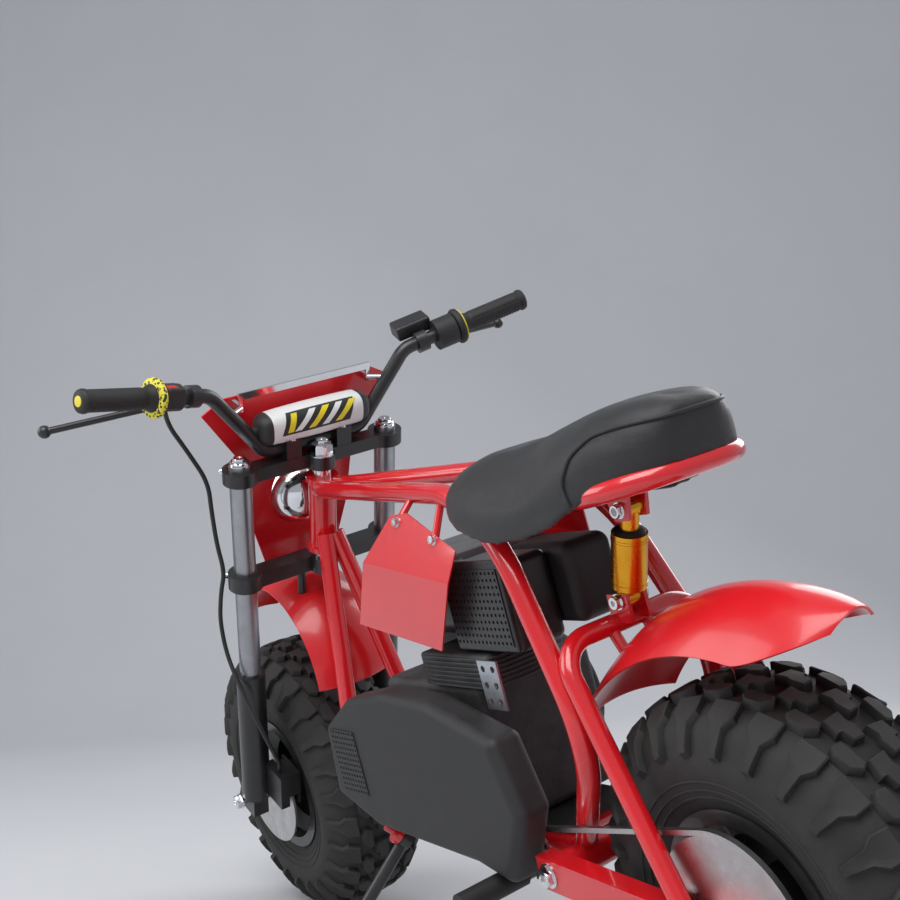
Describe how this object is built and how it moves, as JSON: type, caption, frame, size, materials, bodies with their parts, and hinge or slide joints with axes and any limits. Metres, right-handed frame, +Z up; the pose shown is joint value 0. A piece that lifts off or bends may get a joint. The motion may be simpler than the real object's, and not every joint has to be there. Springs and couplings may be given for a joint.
{
  "type": "off-road mini bike",
  "caption": "Off-road mini bike leaning on its side stand, with wide knobby tyres, a twin-tube red frame, a telescopic fork and a humped seat.",
  "frame": {"origin": "centre of the bounding box on the ground", "axes": "+X forward, +Y to the rider's left, +Z up; the bike leans to +Y on its side stand"},
  "size_m": [1.637, 0.801, 1.0415],
  "materials": {
    "red_paint": "gloss",
    "red_plastic": "gloss",
    "black_metal": "satin",
    "black_plastic": "matte",
    "chrome": "polished",
    "steel": "satin",
    "zinc": "satin",
    "cast_metal": "matte",
    "gold_anodised": "satin",
    "rim": "gloss",
    "tyre": "matte",
    "rubber": "matte",
    "speckled_rubber": "matte",
    "black_vinyl": "satin",
    "white_vinyl": "satin"
  },
  "bodies": {
    "fork": {"bar_pad": "white_vinyl", "brake_master_cylinder": "black_metal", "front_axle": "steel", "front_brake_hose": "rubber", "front_caliper": "black_metal", "front_fender": "red_plastic", "grip_flanges": "speckled_rubber", "grips": "rubber", "handlebar": "black_metal", "headlamp": "chrome", "lever_perches": "black_metal", "levers": "black_metal", "lower_clamp": "black_metal", "number_plate": "red_plastic", "plate_bracket": "chrome", "sliders": "black_metal", "stanchions": "chrome", "steering_stem": "chrome", "switch_housing": "black_plastic", "throttle_housing": "black_plastic", "top_clamp": "black_metal"},
    "frame": {"cross_members": "red_paint", "down_tube_left": "red_paint", "down_tube_right": "red_paint", "drive_chain": "steel", "drive_cover": "black_plastic", "drive_sprocket": "steel", "engine_barrel": "cast_metal", "engine_block": "cast_metal", "engine_plate": "black_metal", "filter_box": "black_plastic", "foot_pegs": "black_metal", "fuel_tank": "black_metal", "main_tube_left": "red_paint", "main_tube_right": "red_paint", "peg_rubbers": "rubber", "pivot_bolts": "steel", "rear_axle": "steel", "rear_caliper": "black_metal", "rear_fender": "red_plastic", "recoil_cover": "black_plastic", "seat": "black_vinyl", "seat_hoop": "red_paint", "shock_body": "gold_anodised", "shock_carrier": "red_paint", "shock_rod": "gold_anodised", "side_plates": "red_paint", "silencer": "black_metal", "stand_bracket": "red_paint", "steering_head": "red_paint", "swingarm": "red_paint"},
    "front_wheel": {"front_brake_disc": "steel", "front_rim": "rim", "front_tyre": "tyre"},
    "rear_wheel": {"rear_brake_disc": "steel", "rear_rim": "rim", "rear_sprocket": "steel", "rear_tyre": "tyre"},
    "side_stand": {"side_stand": "black_metal"}
  },
  "joints": [
    {"name": "steering", "type": "hinge", "parent": "frame", "child": "fork", "pos_m": [0.25799, -0.04036, 0.74865], "axis": [-0.4695, 0.2136, 0.8567], "range_deg": [-35, 35]},
    {"name": "front_wheel_spin", "type": "hinge", "parent": "fork", "child": "front_wheel", "pos_m": [0.57751, -0.16668, 0.24205], "axis": [0, 0.9703, -0.2419], "continuous": true},
    {"name": "rear_wheel_spin", "type": "hinge", "parent": "frame", "child": "rear_wheel", "pos_m": [-0.57751, -0.16665, 0.24216], "axis": [0, 0.9703, -0.2419], "continuous": true},
    {"name": "stand_fold", "type": "hinge", "parent": "frame", "child": "side_stand", "pos_m": [0.08999, -0.06598, 0.20778], "axis": [0.1301, 0.8105, 0.5711], "range_deg": [0, 88]}
  ]
}
